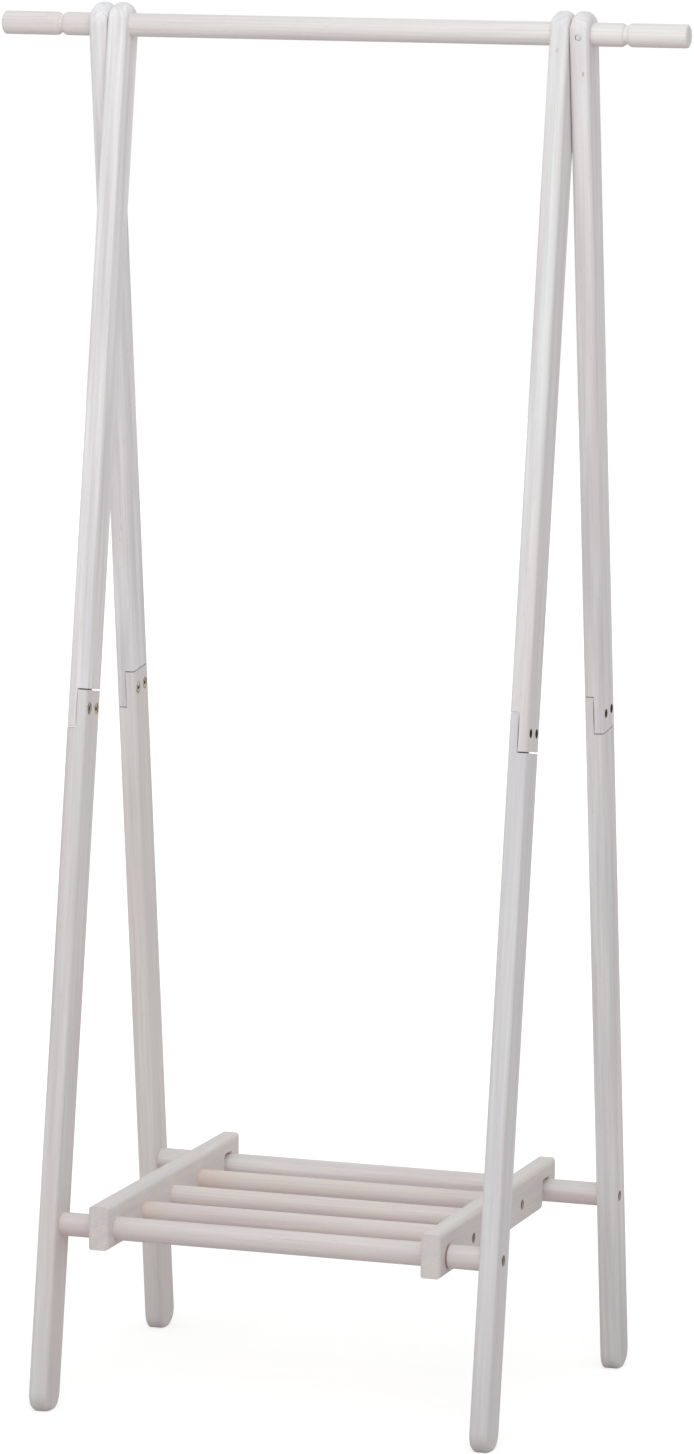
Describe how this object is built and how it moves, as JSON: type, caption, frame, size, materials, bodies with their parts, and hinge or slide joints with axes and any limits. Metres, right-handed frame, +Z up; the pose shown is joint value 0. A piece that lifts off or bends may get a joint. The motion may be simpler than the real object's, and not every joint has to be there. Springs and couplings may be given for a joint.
{
  "type": "folding clothes rack",
  "caption": "Folding wooden clothes rack: paired A-frame legs, a round hanging rail with hanger grooves and a slatted shelf that hooks over the rear rung.",
  "frame": {"origin": "on the floor, midway between the feet, below the middle of the hanging rail", "axes": "+Z up; +X along the hanging rail, to the right seen from the front; +Y from the front legs to the rear legs"},
  "size_m": [0.767, 0.4604, 1.5001],
  "materials": {
    "white_wood": "white-stained wood under a thin matt lacquer",
    "brass": "brass-plated connector bolts, satin",
    "steel": "dark zinc-plated steel"
  },
  "bodies": {
    "front_frame": {"front_left_upper_leg": "white_wood", "front_left_lower_leg": "white_wood", "front_right_upper_leg": "white_wood", "front_right_lower_leg": "white_wood", "front_rung": "white_wood", "front_left_lap_bolts": "brass", "front_right_lap_bolts": "brass", "front_left_sleeve_nuts": "steel", "front_right_sleeve_nuts": "steel", "front_rung_screws": "steel"},
    "rear_frame": {"rear_left_upper_leg": "white_wood", "rear_left_lower_leg": "white_wood", "rear_right_upper_leg": "white_wood", "rear_right_lower_leg": "white_wood", "hanging_rail": "white_wood", "rear_rung": "white_wood", "rear_left_lap_bolts": "brass", "rear_right_lap_bolts": "brass", "rear_left_sleeve_nuts": "steel", "rear_right_sleeve_nuts": "steel", "rear_rung_screws": "steel", "rail_lock_screw": "steel"},
    "shelf": {"shelf_left_rail": "white_wood", "shelf_right_rail": "white_wood", "shelf_front_dowel": "white_wood", "shelf_middle_dowel": "white_wood", "shelf_rear_dowel": "white_wood", "shelf_left_screws": "steel", "shelf_right_screws": "steel"}
  },
  "joints": [
    {"name": "rear_fold", "type": "hinge", "parent": "front_frame", "child": "rear_frame", "pos_m": [0, 0, 1.476], "axis": [-1, 0, 0], "range_deg": [0, 14.5]},
    {"name": "shelf_lift", "type": "hinge", "parent": "front_frame", "child": "shelf", "pos_m": [0, -0.1825, 0.19847], "axis": [1, 0, 0], "range_deg": [0, 82]}
  ],
  "couplings": [
    {"joint": "shelf_lift", "follows": "rear_fold", "ratio": 5.65}
  ]
}
